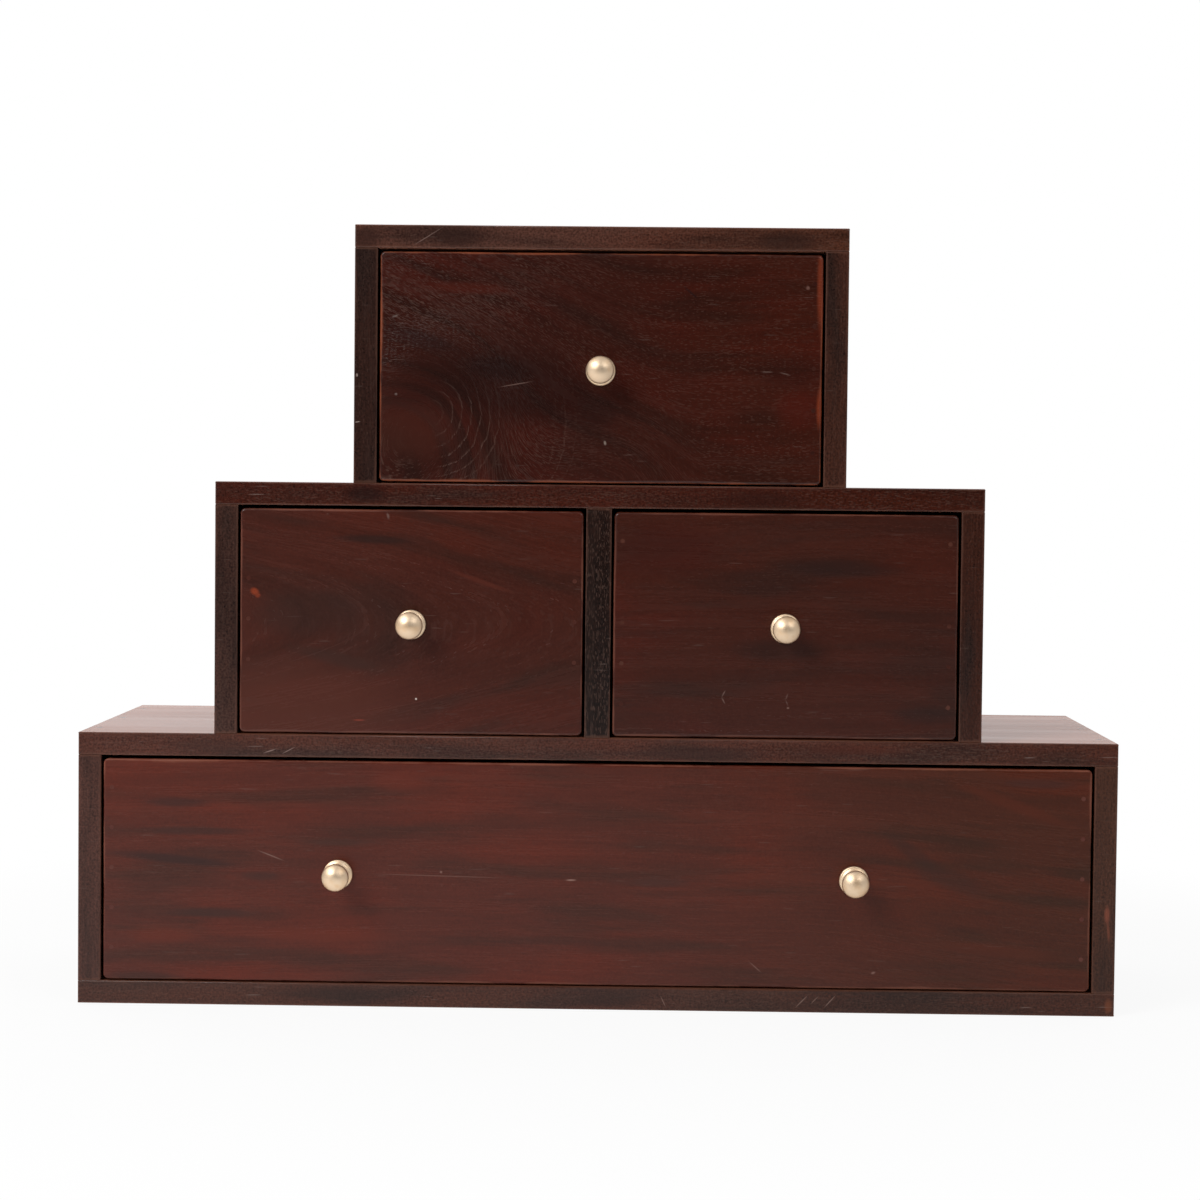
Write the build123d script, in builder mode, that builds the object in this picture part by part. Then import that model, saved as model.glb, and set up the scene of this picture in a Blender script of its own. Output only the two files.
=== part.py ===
"""Stepped chest of drawers in three tiers, built from nailed boards, in millimetres.

X runs to the right as the chest is faced, Y to the back and Z up. The origin is the middle of
the base board's underside, half way between the front and back edges of the boards.
"""

from build123d import *

import os
from collections import namedtuple
from math import ceil

# Carcass boards
BOTTOM_WIDTH = 610.0
MIDDLE_WIDTH = 450.0
TOP_WIDTH = 288.0
CHEST_DEPTH = 203.0
BOARD = 13.5  # decks and side uprights
DIVIDER = 15.0  # upright between the middle drawers
BOTTOM_OPENING = 133.5  # clear height of each tier
MIDDLE_OPENING = 134.5
TOP_OPENING = 137.0
BOARD_EASING = 0.8  # radius of the sanded edges

# Back panels, set in rebates
BACK_PLY = 4.0
BACK_LAP = 5.0  # width of the rebate around each opening
BACK_PLAY = 0.3  # gap around a panel in its rebate

# Drawer fronts, and the gaps around them in the openings
FRONT_BOARD = 15.0
FRONT_CORNER = 3.0  # corner radius seen from the front
FRONT_EASING = 1.6  # radius of the front's worn edges
SIDE_PLAY = 1.4
HEAD_PLAY = 2.0
FOOT_PLAY = 1.0

# Drawer boxes
BOX_BOARD = 10.0  # sides and back
BOX_HEAD_PLAY = 10.0  # from the top of a drawer side to the deck above
BOTTOM_PLY = 4.0
BOTTOM_RISE = 7.0  # from the foot of a drawer side to its groove
GROOVE_DEPTH = 4.0
GROOVE_PLAY = 0.2

# Turned knobs
KNOB_FLANGE = 17.4  # diameters
KNOB_NECK = 8.4
KNOB_HEAD = 16.0
KNOB_REACH = 20.5  # from the drawer front to the tip
KNOB_FLANGE_HEIGHT = 2.2
KNOB_CROWN = 5.0  # from the widest circle of the head to the tip
KNOB_RIM = 2.5  # radius of the head's edge
KNOB_UNDERCUT = 4.0  # from the widest circle of the head back to the neck
KNOB_THREAD = 7.0  # length of screw in the knob
KNOB_DROP = 1.5  # below the middle of the front
KNOB_SPACING = 303.0  # between the two knobs of the wide drawer

# Machine screws that hold the knobs
SCREW_THREAD = 4.0
SCREW_HEAD = 8.0
SCREW_HEAD_HEIGHT = 2.6
SCREW_SLOT = 1.2  # width and depth
SCREW_HOLE_PLAY = 0.25  # around the thread in the front
SCREW_TIP_PLAY = 1.5  # beyond the tip in the knob

# Nails of the carcass, brads of the drawers, pins of the plywood
NAIL_SHANK = 2.4
NAIL_LENGTH = 40.0
NAIL_HEAD = 4.0
NAIL_HEAD_HEIGHT = 1.2
NAIL_SUNK = 1.5  # depth of filler over the head
NAIL_INSET = 30.0  # from the front and back edges of the boards
BRAD_SHANK = 1.6
BRAD_LENGTH = 30.0
BRAD_HEAD = 2.6
BRAD_HEAD_HEIGHT = 1.0
BRAD_SUNK = 1.2
BRAD_INSET = 9.0  # from the groove and the top edge of a drawer side
BRAD_SPACING = 26.0
PIN_SHANK = 1.2
PIN_LENGTH = 15.0
PIN_HEAD = 2.4
PIN_HEAD_HEIGHT = 0.6
PIN_INSET = 40.0  # from the ends of a row
PIN_SPACING = 120.0
NAIL_PLAY = 0.05  # around every nail in its hole

Nail = namedtuple("Nail", "shank length head head_height sunk")
NAIL = Nail(NAIL_SHANK, NAIL_LENGTH, NAIL_HEAD, NAIL_HEAD_HEIGHT, NAIL_SUNK)
BRAD = Nail(BRAD_SHANK, BRAD_LENGTH, BRAD_HEAD, BRAD_HEAD_HEIGHT, BRAD_SUNK)
PIN = Nail(PIN_SHANK, PIN_LENGTH, PIN_HEAD, PIN_HEAD_HEIGHT, 0.0)

# Levels and planes shared by the pieces
FRONT = -CHEST_DEPTH / 2
BACK = CHEST_DEPTH / 2
PANEL_FACE = BACK - BACK_PLY
BOTTOM_FLOOR = BOARD
LOWER_DECK = BOTTOM_FLOOR + BOTTOM_OPENING
MIDDLE_FLOOR = LOWER_DECK + BOARD
UPPER_DECK = MIDDLE_FLOOR + MIDDLE_OPENING
TOP_FLOOR = UPPER_DECK + BOARD
TOP_BOARD = TOP_FLOOR + TOP_OPENING
CHEST_TOP = TOP_BOARD + BOARD

Tier = namedtuple("Tier", "name clear_width floor height")
BOTTOM_TIER = Tier("bottom", BOTTOM_WIDTH - 2 * BOARD, BOTTOM_FLOOR, BOTTOM_OPENING)
MIDDLE_TIER = Tier("middle", MIDDLE_WIDTH - 2 * BOARD, MIDDLE_FLOOR, MIDDLE_OPENING)
TOP_TIER = Tier("top", TOP_WIDTH - 2 * BOARD, TOP_FLOOR, TOP_OPENING)
TIERS = (BOTTOM_TIER, MIDDLE_TIER, TOP_TIER)


def save(piece, name):
    """Labels a finished piece and writes it."""
    piece.part.label = name
    export_step(piece.part, f"parts/{name}.step")


def spread(length, spacing):
    """Evenly spaced places over a length centred on zero, with one at each end."""
    gaps = ceil(length / spacing)
    return [length * (i / gaps - 0.5) for i in range(gaps + 1)]


def driven(normal, *points):
    """Planes at points on a surface, facing out of the wood that the nails go into."""
    return [Plane(origin=point, z_dir=normal) for point in points]


def drill(nail, planes):
    """Holes for nails, cut wherever the board being built lies in their way."""
    with Locations(*planes):
        CounterBoreHole(
            radius=nail.shank / 2 + NAIL_PLAY,
            counter_bore_radius=nail.head / 2 + NAIL_PLAY,
            counter_bore_depth=nail.sunk + nail.head_height,
            depth=nail.sunk + nail.length + NAIL_PLAY,
        )


def turned_nail(nail):
    """One nail pointing down, driven into a surface at zero."""
    head_top = -nail.sunk
    head_foot = head_top - nail.head_height
    tip = head_top - nail.length
    with BuildPart() as piece:
        with BuildSketch(Plane.XZ):
            with BuildLine():
                Polyline(
                    (0, head_top),
                    (nail.head / 2, head_top),
                    (nail.head / 2, head_foot),
                    (nail.shank / 2, head_foot),
                    (nail.shank / 2, tip + nail.shank),
                    (0, tip),
                    close=True,
                )
            make_face()
        revolve(axis=Axis.Z)
    return piece.part


def nail_group(name, *sets):
    """All nails of one group of pieces, from pairs of a nail and the planes it is driven at."""
    shapes = [(turned_nail(nail), planes) for nail, planes in sets]
    with BuildPart() as nails:
        for shape, planes in shapes:
            with Locations(*planes):
                add(shape)
    save(nails, name)


def filler_group(name, nail, planes):
    """Filler over the sunk heads of nails, level with the wood."""
    with BuildPart() as fillers:
        with Locations(*planes):
            Cylinder(nail.head / 2, nail.sunk, align=(Align.CENTER, Align.CENTER, Align.MAX))
    save(fillers, name)


# Nails of the carcass: each row crosses a level board into the end of an upright
def nail_row(x, z, normal):
    reach = CHEST_DEPTH / 2 - NAIL_INSET
    return driven(normal, *[(x, y, z) for y in (-reach, 0, reach)])


def nail_rows(places, z, normal):
    return [plane for x in places for plane in nail_row(x, z, normal)]


UP = (0, 0, 1)
DOWN = (0, 0, -1)
BOTTOM_SIDES = (BOARD / 2 - BOTTOM_WIDTH / 2, BOTTOM_WIDTH / 2 - BOARD / 2)
MIDDLE_SIDES = (BOARD / 2 - MIDDLE_WIDTH / 2, MIDDLE_WIDTH / 2 - BOARD / 2)
MIDDLE_UPRIGHTS = (*MIDDLE_SIDES, 0)
TOP_SIDES = (BOARD / 2 - TOP_WIDTH / 2, TOP_WIDTH / 2 - BOARD / 2)
base_nails = nail_rows(BOTTOM_SIDES, 0, DOWN)
lower_deck_nails = nail_rows(BOTTOM_SIDES, MIDDLE_FLOOR, UP)
middle_foot_nails = nail_rows(MIDDLE_UPRIGHTS, LOWER_DECK, DOWN)
upper_deck_nails = nail_rows(MIDDLE_UPRIGHTS, TOP_FLOOR, UP)
top_foot_nails = nail_rows(TOP_SIDES, UPPER_DECK, DOWN)
top_board_nails = nail_rows(TOP_SIDES, CHEST_TOP, UP)


# Pins of the back panels: rows along the rebate, and up the divider behind the middle tier
def panel_pins(tier):
    across = spread(tier.clear_width - 2 * PIN_INSET, PIN_SPACING)
    up = [tier.floor + tier.height / 2 + z for z in spread(tier.height - 2 * PIN_INSET, PIN_SPACING)]
    low = tier.floor - BACK_LAP / 2
    high = tier.floor + tier.height + BACK_LAP / 2
    edge = tier.clear_width / 2 + BACK_LAP / 2
    uprights = (-edge, 0, edge) if tier is MIDDLE_TIER else (-edge, edge)
    points = [(x, BACK, z) for x in across for z in (low, high)]
    points += [(x, BACK, z) for x in uprights for z in up]
    return driven((0, 1, 0), *points)


PINS = {tier.name: panel_pins(tier) for tier in TIERS}


def rebate(tier):
    """Rebate for a back panel, cut from the board being built."""
    with Locations((0, BACK, tier.floor + tier.height / 2)):
        Box(
            tier.clear_width + 2 * BACK_LAP,
            BACK_PLY,
            tier.height + 2 * BACK_LAP,
            align=(Align.CENTER, Align.MAX, Align.CENTER),
            mode=Mode.SUBTRACT,
        )
    drill(PIN, PINS[tier.name])


def level_board(name, width, underside, eased_end, tiers, nails):
    """A base, deck or top board, eased around its exposed face, rebated for the backs it meets."""
    with BuildPart() as board:
        with BuildSketch(Plane.XY.offset(underside)):
            Rectangle(width, CHEST_DEPTH)
        extrude(amount=BOARD)
        fillet(board.faces().sort_by(Axis.Z)[eased_end].edges(), BOARD_EASING)
        for tier in tiers:
            rebate(tier)
        drill(NAIL, nails)
    save(board, name)


def side_upright(name, x, tier, nails):
    """A side of one tier, between two level boards, with its front edges eased."""
    with BuildPart() as board:
        with BuildSketch(Plane.XY.offset(tier.floor)):
            with Locations((x, 0)):
                Rectangle(BOARD, CHEST_DEPTH)
        extrude(amount=tier.height)
        fillet(board.edges().filter_by(Axis.Z).group_by(Axis.Y)[0], BOARD_EASING)
        rebate(tier)
        drill(NAIL, nails)
    save(board, name)


def back_panel(tier):
    """Plywood back of one tier."""
    with BuildPart() as panel:
        with BuildSketch(Plane.XZ.offset(-PANEL_FACE)):
            with Locations((0, tier.floor + tier.height / 2)):
                Rectangle(
                    tier.clear_width + 2 * (BACK_LAP - BACK_PLAY),
                    tier.height + 2 * (BACK_LAP - BACK_PLAY),
                )
        extrude(amount=-BACK_PLY)
        drill(PIN, PINS[tier.name])
    save(panel, f"back_panel_{tier.name}")


os.makedirs("parts", exist_ok=True)

# Carcass
TOP_FACE = -1
UNDER_FACE = 0
level_board("base_board", BOTTOM_WIDTH, 0, UNDER_FACE, [BOTTOM_TIER], base_nails)
level_board(
    "lower_deck",
    BOTTOM_WIDTH,
    LOWER_DECK,
    TOP_FACE,
    [BOTTOM_TIER, MIDDLE_TIER],
    lower_deck_nails + middle_foot_nails,
)
level_board(
    "upper_deck",
    MIDDLE_WIDTH,
    UPPER_DECK,
    TOP_FACE,
    [MIDDLE_TIER, TOP_TIER],
    upper_deck_nails + top_foot_nails,
)
level_board("top_board", TOP_WIDTH, TOP_BOARD, TOP_FACE, [TOP_TIER], top_board_nails)

for hand, i in (("left", 0), ("right", 1)):
    side_upright(f"bottom_side_{hand}", BOTTOM_SIDES[i], BOTTOM_TIER, base_nails + lower_deck_nails)
    side_upright(f"middle_side_{hand}", MIDDLE_SIDES[i], MIDDLE_TIER, middle_foot_nails + upper_deck_nails)
    side_upright(f"top_side_{hand}", TOP_SIDES[i], TOP_TIER, top_foot_nails + top_board_nails)

with BuildPart() as divider:
    with BuildSketch(Plane.XY.offset(MIDDLE_FLOOR)):
        with Locations((0, FRONT)):
            Rectangle(DIVIDER, PANEL_FACE - FRONT, align=(Align.CENTER, Align.MIN))
    extrude(amount=MIDDLE_OPENING)
    fillet(divider.edges().filter_by(Axis.Z).group_by(Axis.Y)[0], BOARD_EASING)
    drill(NAIL, middle_foot_nails + upper_deck_nails)
    drill(PIN, PINS["middle"])
save(divider, "middle_divider")

for tier in TIERS:
    back_panel(tier)

carcass_nails = (
    base_nails
    + lower_deck_nails
    + middle_foot_nails
    + upper_deck_nails
    + top_foot_nails
    + top_board_nails
)
nail_group("carcass_nails", (NAIL, carcass_nails))
filler_group("carcass_nail_fillers", NAIL, carcass_nails)
nail_group("back_panel_pins", (PIN, [plane for tier in TIERS for plane in PINS[tier.name]]))


def knob(name, x, z):
    """Turned knob on a drawer front: flange, hollowed neck and domed head, bored for its screw."""
    flange = KNOB_FLANGE / 2
    neck = KNOB_NECK / 2
    head = KNOB_HEAD / 2
    bore = SCREW_THREAD / 2 + NAIL_PLAY
    bore_end = KNOB_THREAD + SCREW_TIP_PLAY
    widest = KNOB_REACH - KNOB_CROWN
    throat = widest - KNOB_UNDERCUT
    flange_round = KNOB_FLANGE_HEIGHT / 2
    shoulder = (flange - flange_round, KNOB_FLANGE_HEIGHT)
    throat_edge = ((neck + head) / 2, throat)
    # The crown is a shallow arc that runs into the rounder rim where both lie on one line of centres
    rim_centre = head - KNOB_RIM
    crown = (rim_centre**2 + KNOB_CROWN**2 - KNOB_RIM**2) / (2 * (KNOB_CROWN - KNOB_RIM))
    reach = KNOB_RIM / (crown - KNOB_RIM)
    crown_edge = (rim_centre * (1 + reach), widest + (crown - KNOB_CROWN) * reach)
    with BuildPart() as piece:
        with BuildSketch(Plane(origin=(x, FRONT, z), x_dir=(1, 0, 0), z_dir=DOWN)):
            with BuildLine():
                Line((bore, 0), (flange, 0))
                Line((flange, 0), (flange, flange_round))
                TangentArc((flange, flange_round), shoulder, tangent=(0, 1))
                ThreePointArc(shoulder, (neck, (KNOB_FLANGE_HEIGHT + throat) / 2), throat_edge)
                TangentArc((head, widest), throat_edge, tangent=(0, -1))
                TangentArc((head, widest), crown_edge, tangent=(0, 1))
                TangentArc((0, KNOB_REACH), crown_edge, tangent=(1, 0))
                Polyline((0, KNOB_REACH), (0, bore_end), (bore, bore_end), (bore, 0))
            make_face()
        revolve(axis=Axis((x, FRONT, z), (0, -1, 0)))
    save(piece, name)


def knob_screw(name, x, z):
    """Slotted pan-head screw through a drawer front into a knob."""
    seat = Plane(origin=(x, FRONT + FRONT_BOARD, z), x_dir=(1, 0, 0), z_dir=(0, 1, 0))
    with BuildPart() as screw:
        with BuildSketch(seat):
            Circle(SCREW_HEAD / 2)
        extrude(amount=SCREW_HEAD_HEIGHT)
        head_top = screw.faces().sort_by(Axis.Y)[-1]
        fillet(head_top.edges(), SCREW_HEAD_HEIGHT / 2)
        with BuildSketch(seat.offset(SCREW_HEAD_HEIGHT - SCREW_SLOT)):
            Rectangle(SCREW_HEAD, SCREW_SLOT)
        extrude(amount=SCREW_SLOT, mode=Mode.SUBTRACT)
        with BuildSketch(seat):
            Circle(SCREW_THREAD / 2)
        extrude(amount=-(FRONT_BOARD + KNOB_THREAD))
    save(screw, name)


def drawer(name, centre, clear_width, tier, knobs):
    """One drawer: front, box, plywood bottom, nails and knobs, shut against the back panel."""
    width = clear_width - 2 * SIDE_PLAY
    front_foot = tier.floor + FOOT_PLAY
    front_height = tier.height - HEAD_PLAY - FOOT_PLAY
    front_middle = front_foot + front_height / 2
    front_inside = FRONT + FRONT_BOARD
    clear_inside = width - 2 * BOX_BOARD
    side_height = tier.height - BOX_HEAD_PLAY
    side_length = PANEL_FACE - front_inside
    groove_foot = tier.floor + BOTTOM_RISE
    bottom_top = groove_foot + BOTTOM_PLY
    back_middle = PANEL_FACE - BOX_BOARD / 2
    knob_height = front_middle - KNOB_DROP
    ends = (centre - width / 2, centre + width / 2)

    nail_room = side_height - BOTTOM_RISE - BOTTOM_PLY - 2 * BRAD_INSET
    nail_middle = bottom_top + BRAD_INSET + nail_room / 2
    nail_heights = [nail_middle + z for z in spread(nail_room, BRAD_SPACING)]
    side_centres = (ends[0] + BOX_BOARD / 2, ends[1] - BOX_BOARD / 2)
    front_nails = driven((0, -1, 0), *[(x, FRONT, z) for x in side_centres for z in nail_heights])
    left_nails = driven((-1, 0, 0), *[(ends[0], back_middle, z) for z in nail_heights])
    right_nails = driven((1, 0, 0), *[(ends[1], back_middle, z) for z in nail_heights])
    pin_places = [centre + x for x in spread(clear_inside - 2 * PIN_INSET, PIN_SPACING)]
    bottom_pins = driven(DOWN, *[(x, back_middle, groove_foot) for x in pin_places])

    def groove():
        with Locations((centre, front_inside - GROOVE_DEPTH, groove_foot)):
            Box(
                clear_inside + 2 * GROOVE_DEPTH,
                side_length + GROOVE_DEPTH,
                BOTTOM_PLY + GROOVE_PLAY,
                align=(Align.CENTER, Align.MIN, Align.MIN),
                mode=Mode.SUBTRACT,
            )

    with BuildPart() as front:
        with BuildSketch(Plane.XZ.offset(-FRONT)):
            with Locations((centre, front_middle)):
                RectangleRounded(width, front_height, FRONT_CORNER)
        extrude(amount=-FRONT_BOARD)
        fillet(front.faces().sort_by(Axis.Y)[0].edges(), FRONT_EASING)
        groove()
        drill(BRAD, front_nails)
        with Locations(*driven((0, -1, 0), *[(centre + x, FRONT, knob_height) for x in knobs.values()])):
            Hole(SCREW_THREAD / 2 + SCREW_HOLE_PLAY, FRONT_BOARD)
    save(front, f"{name}_front")

    box_sides = (("left", side_centres[0], left_nails), ("right", side_centres[1], right_nails))
    for hand, x, back_nails in box_sides:
        with BuildPart() as side:
            with BuildSketch(Plane.XY.offset(tier.floor)):
                with Locations((x, front_inside)):
                    Rectangle(BOX_BOARD, side_length, align=(Align.CENTER, Align.MIN))
            extrude(amount=side_height)
            groove()
            drill(BRAD, front_nails + back_nails)
        save(side, f"{name}_side_{hand}")

    with BuildPart() as back:
        with BuildSketch(Plane.XY.offset(bottom_top)):
            with Locations((centre, back_middle)):
                Rectangle(clear_inside, BOX_BOARD)
        extrude(amount=tier.floor + side_height - bottom_top)
        drill(BRAD, left_nails + right_nails)
        drill(PIN, bottom_pins)
    save(back, f"{name}_back")

    with BuildPart() as bottom:
        with BuildSketch(Plane.XY.offset(groove_foot)):
            with Locations((centre, PANEL_FACE)):
                Rectangle(
                    clear_inside + 2 * (GROOVE_DEPTH - GROOVE_PLAY),
                    side_length + GROOVE_DEPTH - GROOVE_PLAY,
                    align=(Align.CENTER, Align.MAX),
                )
        extrude(amount=BOTTOM_PLY)
        drill(PIN, bottom_pins)
    save(bottom, f"{name}_bottom")

    brads = front_nails + left_nails + right_nails
    nail_group(f"{name}_nails", (BRAD, brads), (PIN, bottom_pins))
    filler_group(f"{name}_nail_fillers", BRAD, brads)
    for knob_name, x in knobs.items():
        knob(f"{name}_{knob_name}", centre + x, knob_height)
        knob_screw(f"{name}_{knob_name}_screw", centre + x, knob_height)


# Drawers
half_middle = (MIDDLE_TIER.clear_width - DIVIDER) / 2
middle_centre = (DIVIDER + half_middle) / 2
one_knob = {"knob": 0}
two_knobs = {"knob_left": -KNOB_SPACING / 2, "knob_right": KNOB_SPACING / 2}
drawer("top_drawer", 0, TOP_TIER.clear_width, TOP_TIER, one_knob)
drawer("middle_left_drawer", -middle_centre, half_middle, MIDDLE_TIER, one_knob)
drawer("middle_right_drawer", middle_centre, half_middle, MIDDLE_TIER, one_knob)
drawer("bottom_drawer", 0, BOTTOM_TIER.clear_width, BOTTOM_TIER, two_knobs)
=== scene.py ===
from math import cos, pi, radians, sin

import bmesh
import bpy
from mathutils import Matrix, Vector, noise


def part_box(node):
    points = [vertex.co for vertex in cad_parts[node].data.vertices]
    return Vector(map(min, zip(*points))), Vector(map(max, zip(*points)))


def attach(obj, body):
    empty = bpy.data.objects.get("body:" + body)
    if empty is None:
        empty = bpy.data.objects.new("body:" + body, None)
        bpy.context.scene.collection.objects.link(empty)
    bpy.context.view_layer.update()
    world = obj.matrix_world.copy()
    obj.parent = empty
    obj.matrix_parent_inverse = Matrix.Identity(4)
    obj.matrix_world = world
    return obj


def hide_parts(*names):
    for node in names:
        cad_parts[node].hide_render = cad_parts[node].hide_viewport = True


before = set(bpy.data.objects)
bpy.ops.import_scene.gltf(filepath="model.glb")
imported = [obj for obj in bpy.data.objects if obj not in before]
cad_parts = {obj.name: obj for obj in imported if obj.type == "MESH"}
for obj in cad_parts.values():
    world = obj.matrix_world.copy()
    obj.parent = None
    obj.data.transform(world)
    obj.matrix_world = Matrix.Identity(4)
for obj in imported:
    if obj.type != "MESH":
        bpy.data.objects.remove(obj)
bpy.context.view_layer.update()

# Level boards: the base, the two decks and the top, each edge-glued from two planks of hardwood.
# They run the full width of their tier and are nailed into the ends of the uprights. The timber is
# stained almost black-brown under a satin coat that has rubbed thin along the edges.
MM = 0.001


def linear(code):
    """A colour written as sRGB hex, in the linear values that sockets take."""
    parts = [int(code[i:i + 2], 16) / 255 for i in (1, 3, 5)]
    return (*[c / 12.92 if c <= 0.04045 else ((c + 0.055) / 1.055) ** 2.4 for c in parts], 1.0)


def put(tree, kind, values=None, **settings):
    """Adds a node, gives its inputs constants or the outputs that feed them, and returns its outputs."""
    made = tree.nodes.new(kind)
    for name, value in settings.items():
        setattr(made, name, value)
    for key, value in (values or {}).items():
        if isinstance(value, bpy.types.NodeSocket):
            tree.links.new(value, made.inputs[key])
        else:
            made.inputs[key].default_value = value
    return made.outputs


def new_finish(name):
    """A material with nothing in it yet, and its node tree."""
    finish = bpy.data.materials.new(name)
    finish.use_nodes = True
    finish.node_tree.nodes.clear()
    return finish, finish.node_tree


def add_object(name, data):
    """Puts a mesh, curve, light or camera into the scene."""
    made = bpy.data.objects.new(name, data)
    bpy.context.collection.objects.link(made)
    return made


def stained_hardwood():
    """Stained, satin-coated hardwood as a solid figure: growth bands around a heart line, fibres and
    open pores that follow them, smoky and red patches of stain, and stain worn off along the edges."""
    tree = bpy.data.node_groups.new("stained_hardwood", "ShaderNodeTree")
    wanted = {
        "Place": "Vector", "Half": "Vector", "Grain": "Vector", "Facing": "Vector", "Heart": "Vector",
        "Arch": "Float", "Taper": "Float", "Wander": "Float",
        "Slope": "Vector", "Slope Size": "Float", "Slope Lift": "Float",
        "Swirl": "Vector", "Swirl Size": "Float", "Swirl Lift": "Float", "Ring Share": "Float",
        "Side Swirl": "Vector", "Side Swirl Size": "Float", "Side Swirl Lift": "Float",
        "Body": "Color", "Smoke": "Color", "Red": "Color", "Pore": "Color", "Worn": "Color", "Right Tint": "Color",
        "Smoke Share": "Float", "Red Share": "Float", "Line Share": "Float", "Pore Share": "Float",
        "Fibre Share": "Float", "Band Share": "Float", "Worn Share": "Float", "Worn Width": "Float",
        "Scuff Share": "Float", "Right Share": "Float", "Speckle Share": "Float",
        "Glue Line": "Float", "Dullness": "Float", "Gloss Swing": "Float",
    }
    for name, kind in wanted.items():
        tree.interface.new_socket(name, in_out="INPUT", socket_type=f"NodeSocket{kind}")
    for name, kind in (("Color", "Color"), ("Roughness", "Float"), ("Height", "Float")):
        tree.interface.new_socket(name, in_out="OUTPUT", socket_type=f"NodeSocket{kind}")
    board = put(tree, "NodeGroupInput")

    # The grain wanders over about 90 mm, and a little over 25 mm
    bent = board["Grain"]
    for reach, share in ((90, 2.0), (25, 0.2)):
        squeezed = put(tree, "ShaderNodeVectorMath", {0: bent, 1: (0.4, 1.0, 1.0)}, operation="MULTIPLY")[0]
        sway = put(tree, "ShaderNodeTexNoise", {"Vector": squeezed, "Scale": 1000 / reach, "Detail": 1.0})[1]
        centred = put(tree, "ShaderNodeVectorMath", {0: sway, 1: (0.5, 0.5, 0.5)}, operation="SUBTRACT")[0]
        width = put(tree, "ShaderNodeMath", {0: board["Wander"], 1: share}, operation="MULTIPLY")[0]
        bent = put(tree, "ShaderNodeVectorMath", {0: centred, 1: width, 2: bent}, operation="MULTIPLY_ADD")[0]

    # Distance from the heart line, which tapers along the tree. A broad slope lifts it, and so do swirls
    # such as a buried branch leaves; the growth bands, lines, fibres and pores all follow it
    offset = put(tree, "ShaderNodeVectorMath", {0: bent, 1: board["Heart"]}, operation="SUBTRACT")[0]
    arch = put(tree, "ShaderNodeCombineXYZ", {0: board["Arch"], 1: 1.0, 2: 1.0})[0]
    around = put(tree, "ShaderNodeVectorMath", {0: offset, 1: arch}, operation="MULTIPLY")[0]
    ring = put(tree, "ShaderNodeVectorMath", {0: around}, operation="LENGTH")["Value"]
    along = put(tree, "ShaderNodeSeparateXYZ", {0: offset})[0]
    ring = put(tree, "ShaderNodeMath", {0: along, 1: board["Taper"], 2: ring}, operation="MULTIPLY_ADD")[0]
    swell = 0.0
    for name in ("Slope", "Side Swirl", "Swirl"):
        away = put(tree, "ShaderNodeVectorMath", {0: bent, 1: board[name]}, operation="DISTANCE")["Value"]
        lift = put(tree, "ShaderNodeMapRange", {
            "Value": away, "From Max": board[f"{name} Size"], "To Min": board[f"{name} Lift"], "To Max": 0.0,
        }, interpolation_type="SMOOTHSTEP")[0]
        if name == "Slope":
            ring = put(tree, "ShaderNodeMath", {0: lift, 1: ring}, operation="ADD")[0]
        else:
            swell = put(tree, "ShaderNodeMath", {0: lift, 1: swell}, operation="ADD")[0]
    # The figure is calm inside the swirl
    core = put(tree, "ShaderNodeMapRange", {"Value": away, "From Min": 20 * MM, "From Max": 46 * MM,
                                            "To Min": 0.15}, interpolation_type="SMOOTHSTEP")[0]
    # Length along the grain and width across it in mm, detail, and how closely the swirls are followed
    figure = {}
    for name, length, width, detail, follow in (
        ("band", 300, 9, 3.0, 0.25), ("smoke", 120, 15, 3.0, 0.25), ("fibre", 26, 0.9, 2.0, 0.45),
        ("pore", 2.4, 0.45, 0.0, 0.6), ("line", 7, 1.0, 1.0, 0.6),
    ):
        place = put(tree, "ShaderNodeMath", {0: swell, 1: follow, 2: ring}, operation="MULTIPLY_ADD")[0]
        across = put(tree, "ShaderNodeCombineXYZ", {2: place})[0]
        turned = put(tree, "ShaderNodeVectorMath", {0: across, "Scale": 1000 / width}, operation="SCALE")[0]
        drawn = put(tree, "ShaderNodeVectorMath", {0: bent, 1: (1000 / length,) * 3, 2: turned},
                    operation="MULTIPLY_ADD")[0]
        figure[name] = put(tree, "ShaderNodeTexNoise", {"Vector": drawn, "Scale": 1.0, "Detail": detail})[0]
    # Patches of stain are about 110 mm long and 45 mm wide
    patch = put(tree, "ShaderNodeVectorMath", {0: bent, 1: (1000 / 110, 1000 / 45, 1000 / 45)},
                operation="MULTIPLY")[0]
    figure["red"] = put(tree, "ShaderNodeTexNoise", {"Vector": patch, "Scale": 1.0, "Detail": 2.0})[0]
    field = put(tree, "ShaderNodeTexNoise", {"Vector": patch, "Scale": 1.7, "Detail": 1.0})[1]
    clump, stretch, _ = put(tree, "ShaderNodeSeparateColor", {0: field})

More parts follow.
